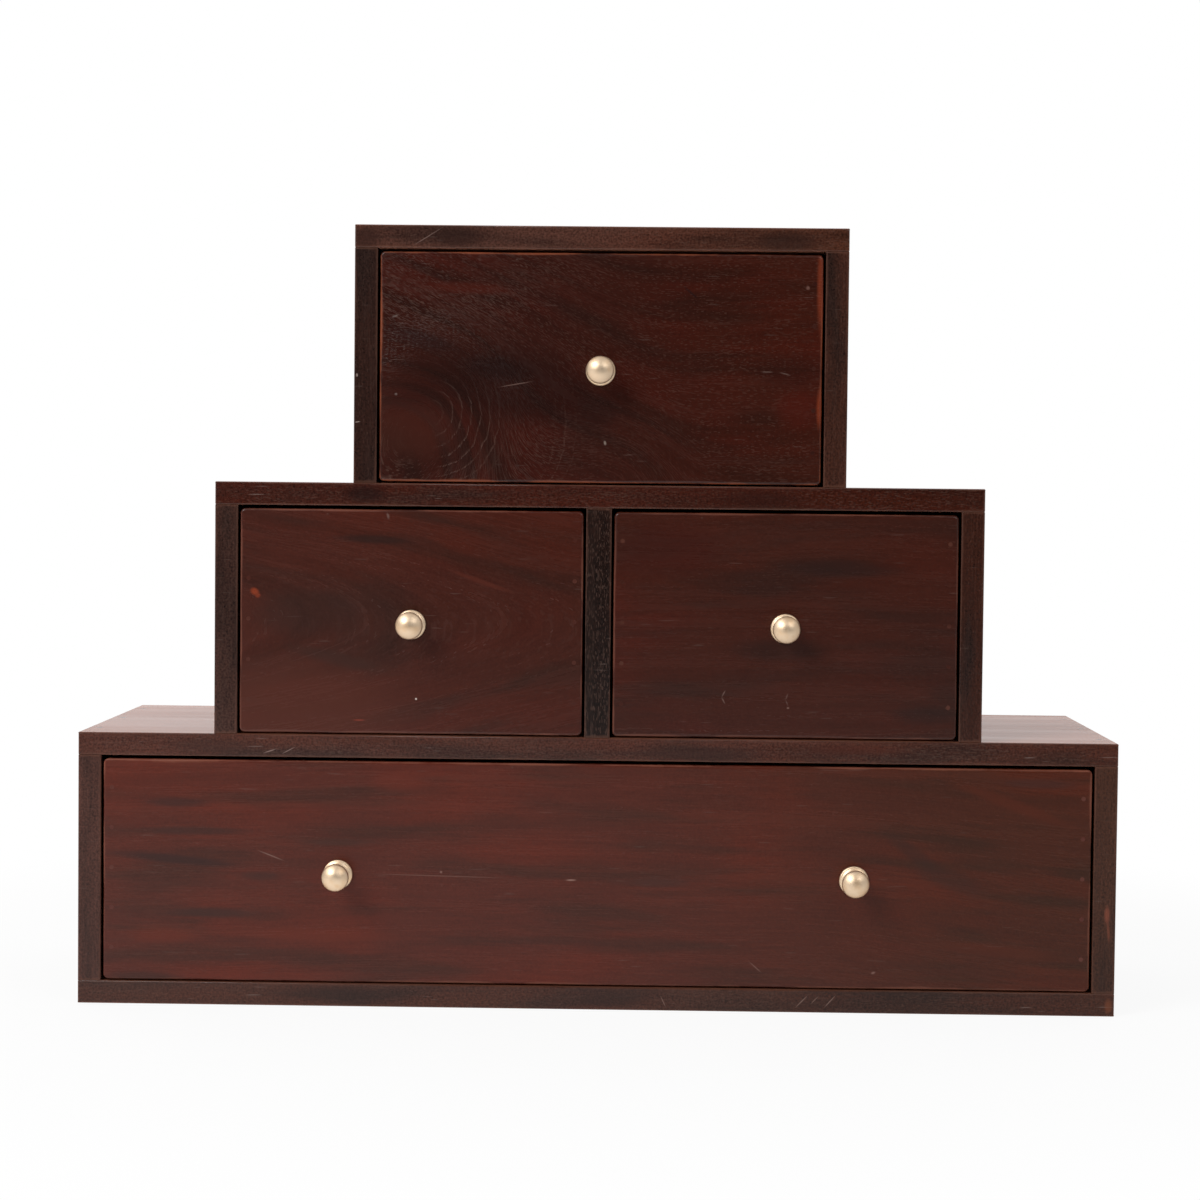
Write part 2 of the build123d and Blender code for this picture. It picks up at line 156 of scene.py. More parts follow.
    # Stain: red where it took best, smoky where it lay thick, lifted or sunk with the bands and fibres
    colour = board["Body"]
    for name, low, high in (("red", 0.42, 0.70), ("smoke", 0.44, 0.70)):
        share = put(tree, "ShaderNodeMapRange", {
            "Value": figure[name], "From Min": low, "From Max": high, "To Max": board[f"{name.title()} Share"],
        }, interpolation_type="SMOOTHSTEP")[0]
        colour = put(tree, "ShaderNodeMix", {0: share, 6: colour, 7: board[name.title()]}, data_type="RGBA")[2]
    tone = 1.0
    for name in ("band", "fibre"):
        swing = put(tree, "ShaderNodeMath", {0: figure[name], 1: 0.5}, operation="SUBTRACT")[0]
        swing = put(tree, "ShaderNodeMath", {0: swing, 1: core}, operation="MULTIPLY")[0]
        tone = put(tree, "ShaderNodeMath", {0: swing, 1: board[f"{name.title()} Share"], 2: tone},
                   operation="MULTIPLY_ADD")[0]
    # The sanded surface shows a fine speckle, about 1.3 mm across
    fine = put(tree, "ShaderNodeTexNoise", {"Vector": board["Place"], "Scale": 1000 / 1.3, "Detail": 1.0})[0]
    swing = put(tree, "ShaderNodeMath", {0: fine, 1: 0.5}, operation="SUBTRACT")[0]
    tone = put(tree, "ShaderNodeMath", {0: swing, 1: board["Speckle Share"], 2: tone}, operation="MULTIPLY_ADD")[0]
    # End grain drinks the stain and goes darker
    facing = put(tree, "ShaderNodeSeparateXYZ", {0: board["Facing"]})[0]
    facing = put(tree, "ShaderNodeMath", {0: facing}, operation="ABSOLUTE")[0]
    soaked = put(tree, "ShaderNodeMapRange", {"Value": facing, "From Min": 0.7, "From Max": 0.95, "To Min": 1.0,
                                              "To Max": 0.6})[0]
    tone = put(tree, "ShaderNodeMath", {0: tone, 1: soaked}, operation="MULTIPLY")[0]
    colour = put(tree, "ShaderNodeVectorMath", {0: colour, "Scale": tone}, operation="SCALE")[0]

    # Painted light: towards the right end of some boards the colour is multiplied by a tint, darker and warmer where
    # the large light at the left falls off, lighter and warmer on the top drawer
    x, y, _ = put(tree, "ShaderNodeSeparateXYZ", {0: board["Place"]})
    end = put(tree, "ShaderNodeSeparateXYZ", {0: board["Half"]})[0]
    right = put(tree, "ShaderNodeMapRange", {"Value": x, "From Min": -0.05, "From Max": end},
                interpolation_type="SMOOTHSTEP")[0]
    tint = put(tree, "ShaderNodeMix", {0: right, 6: (1.0, 1.0, 1.0, 1.0), 7: board["Right Tint"]},
               data_type="RGBA")[2]
    colour = put(tree, "ShaderNodeVectorMath", {0: colour, 1: tint}, operation="MULTIPLY")[0]

    # Open grain that the stain left paler: thin broken lines along the bands, and short pores
    grooves = {}
    for name, place, edge, soft in (("line", stretch, 0.60, 0.10), ("pore", clump, 0.62, 0.10)):
        low = put(tree, "ShaderNodeMapRange", {"Value": place, "From Min": 0.35, "From Max": 0.65,
                                               "To Min": edge + 0.03, "To Max": edge - 0.04})[0]
        high = put(tree, "ShaderNodeMath", {0: low, 1: soft}, operation="ADD")[0]
        grooves[name] = put(tree, "ShaderNodeMapRange", {"Value": figure[name], "From Min": low, "From Max": high,
                                                         "To Max": board[f"{name.title()} Share"]},
                            interpolation_type="SMOOTHSTEP")[0]
    open_grain = put(tree, "ShaderNodeMath", {0: grooves["line"], 1: grooves["pore"]}, operation="MAXIMUM")[0]
    # It is densest at the left of a board with a swirl, and closes up inside the swirl
    dense = put(tree, "ShaderNodeMapRange", {"Value": x, "From Min": -0.08, "From Max": 0.02, "To Min": 1.0,
                                             "To Max": board["Right Share"]}, interpolation_type="SMOOTHSTEP")[0]
    for mask in (dense, core):
        open_grain = put(tree, "ShaderNodeMath", {0: open_grain, 1: mask}, operation="MULTIPLY")[0]

    # Right of the swirl the growth rings show as thin broken arcs, about 5.5 mm apart
    jitter = put(tree, "ShaderNodeTexNoise", {"Vector": board["Place"], "Scale": 1000 / 5, "Detail": 1.0})[0]
    count = put(tree, "ShaderNodeMath", {0: jitter, 1: 0.4, 2: figure["red"]}, operation="MULTIPLY_ADD")[0]
    count = put(tree, "ShaderNodeMath", {0: away, 1: 1000 / 5.5, 2: count}, operation="MULTIPLY_ADD")[0]
    phase = put(tree, "ShaderNodeMath", {0: count}, operation="FRACT")[0]
    arc = put(tree, "ShaderNodeMapRange", {"Value": phase, "From Min": 0.78, "From Max": 0.96},
              interpolation_type="SMOOTHSTEP")[0]
    near = put(tree, "ShaderNodeMapRange", {"Value": away, "From Min": 32 * MM, "From Max": 52 * MM, "To Min": 1.0,
                                            "To Max": 0.0}, interpolation_type="SMOOTHSTEP")[0]
    # A fainter group of them lies 66 to 90 mm from its eye, and all of them fade above it
    far = put(tree, "ShaderNodeMapRange", {"Value": away, "From Min": 66 * MM, "From Max": 76 * MM, "To Max": 0.5},
              interpolation_type="SMOOTHSTEP")[0]
    fall = put(tree, "ShaderNodeMapRange", {"Value": away, "From Min": 78 * MM, "From Max": 90 * MM, "To Min": 1.0,
                                            "To Max": 0.0}, interpolation_type="SMOOTHSTEP")[0]
    near = put(tree, "ShaderNodeMath", {0: far, 1: fall, 2: near}, operation="MULTIPLY_ADD")[0]
    broken = put(tree, "ShaderNodeMapRange", {"Value": figure["line"], "From Min": 0.44, "From Max": 0.58,
                                              "To Max": board["Ring Share"]})[0]
    past_eye = put(tree, "ShaderNodeVectorMath", {0: board["Place"], 1: board["Swirl"]}, operation="SUBTRACT")[0]
    beside, _, above = put(tree, "ShaderNodeSeparateXYZ", {0: past_eye})
    beside = put(tree, "ShaderNodeMapRange", {"Value": beside, "From Min": -0.008, "From Max": 0.015},
                 interpolation_type="SMOOTHSTEP")[0]
    above = put(tree, "ShaderNodeMapRange", {"Value": above, "From Min": 0.008, "From Max": 0.032, "To Min": 1.0,
                                             "To Max": 0.1}, interpolation_type="SMOOTHSTEP")[0]
    for mask in (near, broken, beside, above):
        arc = put(tree, "ShaderNodeMath", {0: arc, 1: mask}, operation="MULTIPLY")[0]
    open_grain = put(tree, "ShaderNodeMath", {0: open_grain, 1: arc}, operation="MAXIMUM")[0]
    colour = put(tree, "ShaderNodeMix", {0: open_grain, 6: colour, 7: board["Pore"]}, data_type="RGBA")[2]

    # A glue line between two planks, about 0.5 mm wide, where the board has one
    seam = put(tree, "ShaderNodeMath", {0: y, 1: board["Glue Line"], 2: 0.5 * MM}, operation="COMPARE")[0]
    shade = put(tree, "ShaderNodeMath", {0: seam, 1: 0.6}, operation="MULTIPLY")[0]
    colour = put(tree, "ShaderNodeMix", {0: shade, 6: colour, 7: linear("#150D0B")}, data_type="RGBA")[2]

    # Wear: the middle one of the three distances to the board's faces tells how near an edge is
    reach = put(tree, "ShaderNodeVectorMath", {0: board["Place"]}, operation="ABSOLUTE")[0]
    depth = put(tree, "ShaderNodeVectorMath", {0: board["Half"], 1: reach}, operation="SUBTRACT")[0]
    x, y, z = put(tree, "ShaderNodeSeparateXYZ", {0: depth})
    low = put(tree, "ShaderNodeMath", {0: x, 1: y}, operation="MINIMUM")[0]
    high = put(tree, "ShaderNodeMath", {0: x, 1: y}, operation="MAXIMUM")[0]
    inner = put(tree, "ShaderNodeMath", {0: high, 1: z}, operation="MINIMUM")[0]
    to_edge = put(tree, "ShaderNodeMath", {0: low, 1: inner}, operation="MAXIMUM")[0]
    ragged = put(tree, "ShaderNodeTexNoise", {"Vector": board["Place"], "Scale": 1000 / 45, "Detail": 4.0,
                                              "Roughness": 0.6})[0]
    spread = put(tree, "ShaderNodeMapRange", {"Value": ragged, "From Min": 0.3, "From Max": 0.75,
                                              "To Min": 0.1, "To Max": 2.0})[0]
    width = put(tree, "ShaderNodeMath", {0: spread, 1: board["Worn Width"]}, operation="MULTIPLY")[0]
    worn = put(tree, "ShaderNodeMapRange", {"Value": to_edge, "From Min": 0.0, "From Max": width,
                                            "To Min": board["Worn Share"], "To Max": 0.0},
               interpolation_type="SMOOTHSTEP")[0]
    colour = put(tree, "ShaderNodeMix", {0: worn, 6: colour, 7: board["Worn"]}, data_type="RGBA")[2]

    # Scuffs: thin pale scratches about 15 mm long at a slant, and specks under a millimetre across
    slant = put(tree, "ShaderNodeMapping", {0: board["Place"], "Rotation": (0.5, 0.6, 0.4),
                                            "Scale": (1000 / 15, 1000 / 1.1, 1000 / 1.1)})[0]
    line = put(tree, "ShaderNodeTexNoise", {"Vector": slant, "Scale": 1.0, "Detail": 0.0})[0]
    scratch = put(tree, "ShaderNodeMapRange", {"Value": line, "From Min": 0.80, "From Max": 0.86})[0]
    cell = put(tree, "ShaderNodeTexVoronoi", {"Vector": board["Place"], "Scale": 1000 / 26})
    dot = put(tree, "ShaderNodeMapRange", {"Value": cell["Distance"], "From Min": 0.016, "From Max": 0.034,
                                           "To Min": 1.0, "To Max": 0.0})[0]
    marks = put(tree, "ShaderNodeMath", {0: scratch, 1: dot}, operation="MAXIMUM")[0]
    share = put(tree, "ShaderNodeMath", {0: marks, 1: board["Scuff Share"]}, operation="MULTIPLY")[0]
    colour = put(tree, "ShaderNodeMix", {0: share, 6: colour, 7: linear("#8A766E")}, data_type="RGBA")[2]

    # The coat is a little duller in the open grain and on worn edges; pores sink 0.04 mm, fibres lift 0.01 mm
    gloss = board["Dullness"]
    for place, swing in ((figure["band"], board["Gloss Swing"]), (figure["fibre"], 0.05), (open_grain, 0.10),
                         (worn, 0.08)):
        gloss = put(tree, "ShaderNodeMath", {0: place, 1: swing, 2: gloss}, operation="MULTIPLY_ADD")[0]
    lift = put(tree, "ShaderNodeMath", {0: figure["fibre"], 1: 0.01 * MM}, operation="MULTIPLY")[0]
    height = put(tree, "ShaderNodeMath", {0: open_grain, 1: -0.04 * MM, 2: lift}, operation="MULTIPLY_ADD")[0]
    put(tree, "NodeGroupOutput", {"Color": colour, "Roughness": gloss, "Height": height})
    return tree


HARDWOOD = stained_hardwood()
ALONG_X = (0.0, 0.0, 0.0)
ALONG_Y = (0.0, 0.0, -pi / 2)
ALONG_Z = (0.0, pi / 2, 0.0)
NOWHERE = 10.0
# A sound coat, and that of the lowest tier, which is worn so thin that it mirrors less
SOUND_COAT = 1.4
THIN_COAT = 1.33


def board_finish(node, grain, timber="stained_hardwood", marks=(), bloom=0.0, coat_ior=SOUND_COAT, **figure):
    """Stained hardwood fitted to one board: its own grain direction, heart line, stain and worn edges.
    Marks are soft ellipses of another colour on a front, among them smudges, scratches, chips and a painted
    knob shadow, each given as x, z, half length, half width and turn in mm and degrees, colour and share."""
    low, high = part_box(node)
    finish, tree = new_finish(f"{timber}_{node}")
    surface = put(tree, "ShaderNodeTexCoord")
    spot = surface["Object"]
    place = put(tree, "ShaderNodeVectorMath", {0: spot, 1: (low + high) / 2}, operation="SUBTRACT")[0]
    facing = put(tree, "ShaderNodeMapping", {0: surface["Normal"], "Rotation": grain}, vector_type="VECTOR")[0]
    turned = put(tree, "ShaderNodeMapping", {0: place, "Rotation": grain, "Location": figure.pop("seed")})[0]
    sockets = {key.replace("_", " ").title(): value for key, value in figure.items()}
    wood = put(tree, "ShaderNodeGroup", {
        "Place": place, "Grain": turned, "Facing": facing, "Half": (high - low) / 2, "Glue Line": NOWHERE,
        "Right Share": 1.0, "Right Tint": (1.0, 1.0, 1.0, 1.0), "Gloss Swing": 0.12, **sockets,
    }, node_tree=HARDWOOD)
    colour = wood["Color"]
    for x, z, half_length, half_width, turn, code, share in marks:
        inside = put(tree, "ShaderNodeMapping", {
            0: spot, "Location": (x * MM, low.y, z * MM), "Rotation": (0.0, radians(-turn), 0.0),
            "Scale": (half_length * MM, 5 * MM, half_width * MM),
        }, vector_type="TEXTURE")[0]
        soft = put(tree, "ShaderNodeTexGradient", {0: inside}, gradient_type="SPHERICAL")[1]
        amount = put(tree, "ShaderNodeMapRange", {"Value": soft, "From Max": 0.7, "To Max": share},
                     interpolation_type="SMOOTHSTEP")[0]
        colour = put(tree, "ShaderNodeMix", {0: amount, 6: colour, 7: linear(code)}, data_type="RGBA")[2]
    relief = put(tree, "ShaderNodeBump", {"Height": wood["Height"], "Strength": 1.0, "Distance": 1.0})[0]
    shader = put(tree, "ShaderNodeBsdfPrincipled", {
        "Base Color": colour, "Roughness": wood["Roughness"], "IOR": coat_ior, "Normal": relief,
        "Sheen Weight": bloom, "Sheen Roughness": 0.4, "Sheen Tint": linear("#FFA684"),
    })[0]
    put(tree, "ShaderNodeOutputMaterial", {"Surface": shader})
    return finish


def eased_board(node, finish, long_way):
    """A carcass board with the edges along it, and the ends of a level board, sanded to a small round."""
    form = bmesh.new()
    form.from_mesh(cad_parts[node].data)
    bmesh.ops.remove_doubles(form, verts=form.verts, dist=WELD)
    bmesh.ops.dissolve_limit(form, angle_limit=radians(1), verts=form.verts, edges=form.edges)
    # Long square edges only, so the rims of the bores stay crisp
    sharp = []
    for edge in form.edges:
        run = (edge.verts[1].co - edge.verts[0].co).normalized()
        square = edge.is_manifold and edge.is_convex and abs(edge.calc_face_angle() - pi / 2) < 0.01
        if square and edge.calc_length() > LEAST_EASED and max(abs(run[i]) for i in long_way) > 0.99:
            sharp.append(edge)
    bmesh.ops.bevel(form, geom=sharp, offset=BOARD_EASING, segments=3, profile=0.5, affect="EDGES",
                    clamp_overlap=True)
    for face in form.faces:
        face.smooth = max(abs(part) for part in face.normal) < 0.999
    mesh = bpy.data.meshes.new(f"{node}_eased")
    form.to_mesh(mesh)
    form.free()
    mesh.materials.append(finish)
    board = add_object(f"{node}_eased", mesh)
    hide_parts(node)
    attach(board, "carcass")


BOARD_EASING = 0.7 * MM
LEAST_EASED = 10 * MM
WELD = 0.001 * MM
LEVEL_STAIN = {
    "pore": linear("#6E5348"), "smoke": linear("#2E1E1A"), "smoke_share": 0.8, "red_share": 0.5, "line_share": 0.12,
    "pore_share": 0.2, "fibre_share": 0.5, "band_share": 0.6, "worn": linear("#6E4636"), "worn_share": 0.4,
    "worn_width": 1.4 * MM, "scuff_share": 0.5, "arch": 0.02, "wander": 4 * MM, "dullness": 0.02,
    "gloss_swing": 0.28, "speckle_share": 2.0,
}
# Smudges and scratches that the coat has picked up, as on the fronts
for i, (node, body, red, marks) in enumerate((
    ("base_board", "#482A21", "#4C261B", (
        (121.9, 6.6, 6.5, 0.45, 46, "#8A6E64", 0.7), (138.5, 6.8, 6.3, 0.45, 48, "#8A6E64", 0.7),
        (129.5, 7.5, 4.0, 0.35, 45, "#8A6E64", 0.6), (40.5, 5.5, 4.5, 0.4, -65, "#8A6E64", 0.6),
        (301.5, 6.0, 3.0, 6.0, 0, "#7A4228", 0.6),
        (-150.0, 7.0, 60.0, 6.0, 0, "#2A1B17", 0.5), (10.0, 6.0, 30.0, 6.0, 0, "#2E1E1A", 0.5),
    )),
    ("lower_deck", "#4E2A20", "#53271A", (
        (-192.0, 150.5, 5.0, 0.5, 18, "#8A726A", 0.8), (-181.0, 151.0, 5.5, 0.4, 28, "#8A726A", 0.7),
        (-225.0, 153.0, 40.0, 6.0, 0, "#32211C", 0.5), (60.0, 152.0, 50.0, 6.0, 0, "#2C1C18", 0.6),
        (150.0, 155.0, 40.0, 4.0, 0, "#4E2216", 0.5),
    )),
    ("upper_deck", "#3D1A12", "#451A11", (
        (-137.0, 302.0, 16.0, 7.0, 0, "#1F1110", 0.7), (95.0, 301.0, 40.0, 6.0, 0, "#28130F", 0.5),
    )),
    ("top_board", "#503229", "#542D22", (
        (-101.0, 452.5, 13.0, 0.4, 32, "#7E665E", 0.7), (-84.0, 452.0, 22.0, 8.0, 0, "#271916", 0.6),
        (108.0, 451.0, 26.0, 8.0, 0, "#2A1B17", 0.6), (-138.0, 451.0, 14.0, 8.0, 0, "#2A1B18", 0.6),
    )),
)):
    eased_board(node, board_finish(
        node, ALONG_X, seed=(1.3 * i, 0.4 * i, 0.7), heart=(1.3 * i, 0.4 * i - 0.2, 0.5), glue_line=8 * MM,
        body=linear(body), red=linear(red), bloom=0.62, coat_ior=THIN_COAT if node == "base_board" else SOUND_COAT,
        # Painted shade: the level boards go darker and warmer towards their right ends
        right_tint=(0.84, 0.68, 0.54, 1.0), marks=marks, **LEVEL_STAIN,
    ), (0, 1, 2))

# Uprights: six sides and the divider, butted between the level boards with their grain upright.
# The same hardwood and stain, darker on the front edges where the stain soaked in.
UPRIGHT_STAIN = {
    **LEVEL_STAIN, "red": linear("#3A2018"), "smoke": linear("#231714"), "red_share": 0.4, "pore_share": 0.08,
    "line_share": 0.05, "fibre_share": 0.8, "scuff_share": 0.3, "dullness": 0.18, "gloss_swing": 0.12,
}
# The divider is near black, with pale open grain
DIVIDER_GRAIN = {"pore_share": 0.26, "line_share": 0.14}
# Chips and knocks on the front edges, given as marks are
CHIPS = {
    "bottom_side_right": ((299.9, 60.0, 2.2, 7.0, 0, "#7E4432", 0.8), (300.9, 50.0, 1.2, 8.0, 4, "#74402E", 0.7)),
    "top_side_left": ((-142.3, 371.3, 0.8, 1.4, 0, "#A08C84", 0.8), (-141.8, 344.0, 2.0, 0.5, 8, "#A08C84", 0.8)),
}
for i, (node, body) in enumerate((
    ("bottom_side_left", "#52322A"), ("bottom_side_right", "#45281C"), ("middle_side_left", "#472C24"),
    ("middle_side_right", "#381A10"), ("top_side_left", "#2F1A14"), ("top_side_right", "#42241A"),
    ("middle_divider", "#1C0D08"),
)):
    eased_board(node, board_finish(
        node, ALONG_Z, seed=(0.9 * i, 2.1, 0.6 * i), heart=(0.9 * i, 1.9, 0.6 * i + 0.2), body=linear(body),
        marks=CHIPS.get(node, ()), coat_ior=THIN_COAT if node.startswith("bottom") else SOUND_COAT,
        **{**UPRIGHT_STAIN, **(DIVIDER_GRAIN if node == "middle_divider" else {})},
    ), (2,))

# Drawer fronts: solid hardwood boards picked for their figure, with rounded corners and edges sanded by
# hand, stained red-brown and coated satin. Nailed to the drawer sides, with the heads filled over.
FRONT_CORNER = 3.0 * MM
FRONT_EASING = 1.6 * MM
EASING_STEPS = 8
# Share by which the easing swells, the length over which it does, and the length of an edge's pieces
EASING_SWELL = 0.45
SWELL_REACH = 35 * MM
EDGE_PIECE = 8 * MM
FRONT_SETTING = {
    "smoke_share": 0.7, "red_share": 0.7, "fibre_share": 0.5, "band_share": 0.35, "worn_share": 0.8,
    "worn_width": 1.5 * MM, "scuff_share": 0.12, "dullness": 0.18, "speckle_share": 0.5,
}
# Each front's figure, stain and marks; filled is how pale its nail heads' filler is
FRONTS = {
    "top_drawer": dict(
        seed=(0.0, 0.0, 0.0), heart=(0.1, 0.06, 0.4), arch=0.08, wander=7 * MM, right_share=0.4,
        slope=(-0.25, -0.0075, -0.10), slope_size=0.32, slope_lift=0.27,
        swirl=(-0.096, -0.0075, -0.027), swirl_size=0.06, swirl_lift=0.16, ring_share=0.75,
        side_swirl=(0.013, -0.0075, -0.056), side_swirl_size=0.05, side_swirl_lift=0.06,
        # Painted light: the front goes lighter and warmer towards its right end
        right_tint=(1.22, 1.12, 0.86, 1.0),
        body=linear("#35140D"), smoke=linear("#26110C"), red=linear("#42130A"), pore=linear("#5E4339"),
        worn=linear("#A0502E"), filled=0.1, line_share=0.2, pore_share=0.5, marks=(
            (-77.2, 422.5, 32.0, 5.0, -3, "#4E1C12", 0.6),
            (115.5, 353.5, 18.0, 16.0, 0, "#4A150B", 0.6),
            (-59.6, 376.0, 26.0, 9.0, -8, "#231413", 0.6),
            (-103.0, 392.0, 28.0, 7.0, -15, "#261615", 0.5),
            # Painted shadow: a soft dark patch just below the knob, standing for the shadow it casts
            (-2.0, 352.0, 16.0, 14.0, 0, "#1F110E", 0.4),
            (-50.0, 366.0, 80.0, 30.0, -8, "#200C08", 0.7),
            (-115.0, 338.0, 40.0, 22.0, 0, "#472219", 0.5),
            (112.0, 376.0, 32.0, 14.0, 0, "#2A0F0A", 0.4),
            (52.0, 421.0, 7.0, 0.8, -40, "#201212", 0.7),
            (127.8, 425.0, 3.2, 34.0, 0, "#7E3620", 0.7), (128.2, 354.0, 3.0, 16.0, 0, "#86391F", 0.7),
            (88.0, 445.0, 60.0, 2.6, 0, "#74321F", 0.6),
            (120.1, 424.3, 1.6, 1.6, 0, "#6A4A42", 0.9),
            (-49.5, 366.8, 13.0, 0.45, 10, "#7A6058", 0.6),
            (-120.3, 405.8, 2.6, 0.8, 20, "#6A5A55", 0.8),
            (-119.4, 360.4, 1.2, 1.0, 0, "#6A5A55", 0.8),
            (3.0, 333.1, 1.0, 1.8, 15, "#8A7A70", 0.8),
            (97.0, 375.3, 4.5, 0.5, 0, "#66524B", 0.7),
            (107.5, 374.3, 4.0, 0.5, -15, "#66524B", 0.7),
        )),
    "middle_left_drawer": dict(
        seed=(3.1, 0.0, 0.0), heart=(3.1, 0.035, 0.004), arch=0.0, taper=0.16, wander=6 * MM,
        body=linear("#482017"), smoke=linear("#331E18"), red=linear("#501E12"), pore=linear("#6B4D45"),
        worn=linear("#8A5240"), filled=0.25, line_share=0.05, pore_share=0.07, fibre_share=0.5,
        # Painted shade: the front goes darker and warmer towards its right end
        band_share=0.45, right_tint=(0.84, 0.76, 0.66, 1.0), marks=(
            (-180.0, 176.0, 90.0, 40.0, 0, "#57291D", 0.6),
            (-172.4, 231.8, 42.0, 20.0, 0, "#33211C", 0.55),
            (-153.2, 205.4, 38.0, 6.0, -13, "#38241E", 0.5),
            (-132.2, 275.4, 30.0, 3.6, -2, "#2C1C18", 0.7),
            (-69.0, 251.5, 26.0, 2.0, -19, "#5E2A1E", 0.5),
            (-201.5, 244.2, 3.6, 2.8, -30, "#86381F", 0.95),
            (-199.6, 241.9, 2.2, 1.8, 20, "#7A331D", 0.9),
            (-106.3, 182.1, 0.8, 0.8, 0, "#D8C8BC", 1.0),
            (-139.7, 169.3, 4.5, 0.6, 0, "#8A3A2A", 0.8),
            (-123.5, 289.2, 1.0, 2.6, 15, "#6E554E", 0.8),
        )),
    "middle_right_drawer": dict(
        seed=(6.2, 0.0, 0.0), heart=(6.1, 0.05, 0.22), arch=0.1, wander=6 * MM,
        body=linear("#401A10"), smoke=linear("#2E1913"), red=linear("#4A180D"), pore=linear("#63473F"),
        worn=linear("#7E4836"), filled=0.4, line_share=0.05, pore_share=0.07, fibre_share=0.38,
        band_share=0.4, marks=(
            (40.0, 272.0, 44.0, 22.0, 0, "#3C120A", 0.5),
            (140.0, 261.4, 48.0, 7.0, -2, "#2B1915", 0.65),
            (192.0, 176.0, 26.0, 8.0, 0, "#2A1814", 0.55),
            (73.9, 187.3, 0.5, 3.0, -28, "#7A6058", 0.6), (73.8, 183.2, 0.5, 2.8, 28, "#7A6058", 0.6),
            (110.9, 186.0, 0.45, 2.6, -20, "#7A6058", 0.5), (110.9, 182.4, 0.45, 2.4, 24, "#7A6058", 0.5),
            (105.0, 213.0, 38.0, 9.0, 0, "#2B1914", 0.55), (210.0, 190.0, 24.0, 12.0, 0, "#2C1A15", 0.5),
            (111.7, 179.3, 1.0, 0.7, 0, "#86685E", 0.8),
        )),
    "bottom_drawer": dict(
        seed=(9.3, 0.0, 0.0), heart=(9.3, 0.08, -0.6), arch=0.03, wander=6 * MM,
        side_swirl=(9.62, -0.0075, 0.0), side_swirl_size=0.22, side_swirl_lift=0.04,
        # Painted shade: the front goes darker and warmer towards its right end, away from the large light
        right_tint=(0.68, 0.74, 0.52, 1.0),
        body=linear("#57271D"), smoke=linear("#40241C"), red=linear("#642618"), pore=linear("#74534A"),
        worn=linear("#8E5542"), coat_ior=THIN_COAT, filled=0.35, line_share=0.06, pore_share=0.06,
        band_share=0.5, marks=(
            (-246.9, 119.7, 27.0, 4.0, -1, "#39231F", 0.65),
            (-237.4, 102.9, 46.0, 3.6, 0, "#3A2520", 0.65),
            (-247.4, 86.0, 50.0, 4.0, -5, "#34211E", 0.75),
            (-150.7, 97.2, 32.0, 3.0, 1, "#452B24", 0.5),
            (-197.2, 76.6, 17.0, 4.0, 1, "#3C2621", 0.55),
            (-226.3, 54.7, 34.0, 4.0, 0, "#3A2520", 0.65),
            (37.0, 75.8, 24.0, 4.0, 0, "#452A24", 0.55),
            (258.6, 136.5, 32.0, 4.0, -1, "#3C2520", 0.55),
            (186.0, 95.0, 26.0, 6.0, -35, "#36211A", 0.5), (207.0, 80.0, 32.0, 9.0, -20, "#36211A", 0.5),
            (244.0, 124.0, 50.0, 5.0, -20, "#5A2514", 0.5), (235.0, 38.0, 60.0, 6.0, -6, "#5A2514", 0.5),
            (163.6, 24.0, 1.8, 0.9, 20, "#8A685E", 0.8),
            (-265.8, 16.4, 30.0, 4.0, -1, "#38241F", 0.6),
            (-255.8, 41.2, 28.0, 7.0, -1, "#6A2B1C", 0.5),
            (-162.2, 42.2, 66.0, 6.0, -1, "#6A2B1C", 0.5),
            (-116.2, 132.5, 24.0, 7.0, -1, "#6C2C1E", 0.5),
            (-92.3, 78.0, 50.0, 0.45, -1, "#7E5C52", 0.5),
            (-191.1, 88.8, 10.5, 0.5, -21, "#826359", 0.8),
            (-14.3, 76.5, 4.0, 0.7, 1, "#9A766A", 0.8),
            (-90.8, 80.3, 1.0, 1.0, 0, "#8A685E", 0.8),
            (94.3, 26.6, 6.5, 0.45, -41, "#8A685E", 0.6),
        )),
}


def eased_front(name, low, high):
    """A front board with rounded corners whose sanded edge swells and thins a little around the board."""
    width, height = high.x - low.x, high.z - low.z
    centre_x, centre_z = (low.x + high.x) / 2, (low.z + high.z) / 2
    outline = []
    for turn, (sx, sz) in enumerate(((1, 1), (-1, 1), (-1, -1), (1, -1))):
        corner = Vector((centre_x + sx * (width / 2 - FRONT_CORNER), centre_z + sz * (height / 2 - FRONT_CORNER)))
        for step in range(EASING_STEPS + 1):
            angle = (turn + step / EASING_STEPS) * pi / 2
            outward = Vector((cos(angle), sin(angle)))
            outline.append((corner + FRONT_CORNER * outward, outward))
        length = height if turn % 2 else width
        run = length - 2 * FRONT_CORNER
        start, outward = outline[-1]
        along = Vector((-outward.y, outward.x))
        pieces = int(run / EDGE_PIECE)
        outline += [(start + along * run * i / pieces, outward) for i in range(1, pieces)]
    form = bmesh.new()
    rings = []
    for step in range(-1, EASING_STEPS + 1):
        ring = []
        for spot, outward in outline:
            swell = noise.noise(Vector((spot.x, spot.y, high.y)) / SWELL_REACH)
            radius = FRONT_EASING * (1 + EASING_SWELL * swell)
            angle = max(step, 0) / EASING_STEPS * pi / 2
            inset = spot - outward * radius * (1 - cos(angle))
            y = high.y if step < 0 else low.y + radius * (1 - sin(angle))
            ring.append(form.verts.new((inset.x, y, inset.y)))
        rings.append(ring)
    count = len(outline)
    for outer, inner in zip(rings, rings[1:]):
        for i in range(count):
            form.faces.new((outer[i], inner[i], inner[i - 1], outer[i - 1])).smooth = True
    form.faces.new(rings[0])
    form.faces.new(reversed(rings[-1]))
    bmesh.ops.recalc_face_normals(form, faces=form.faces)
    mesh = bpy.data.meshes.new(name)
    form.to_mesh(mesh)
    form.free()
    return add_object(name, mesh)


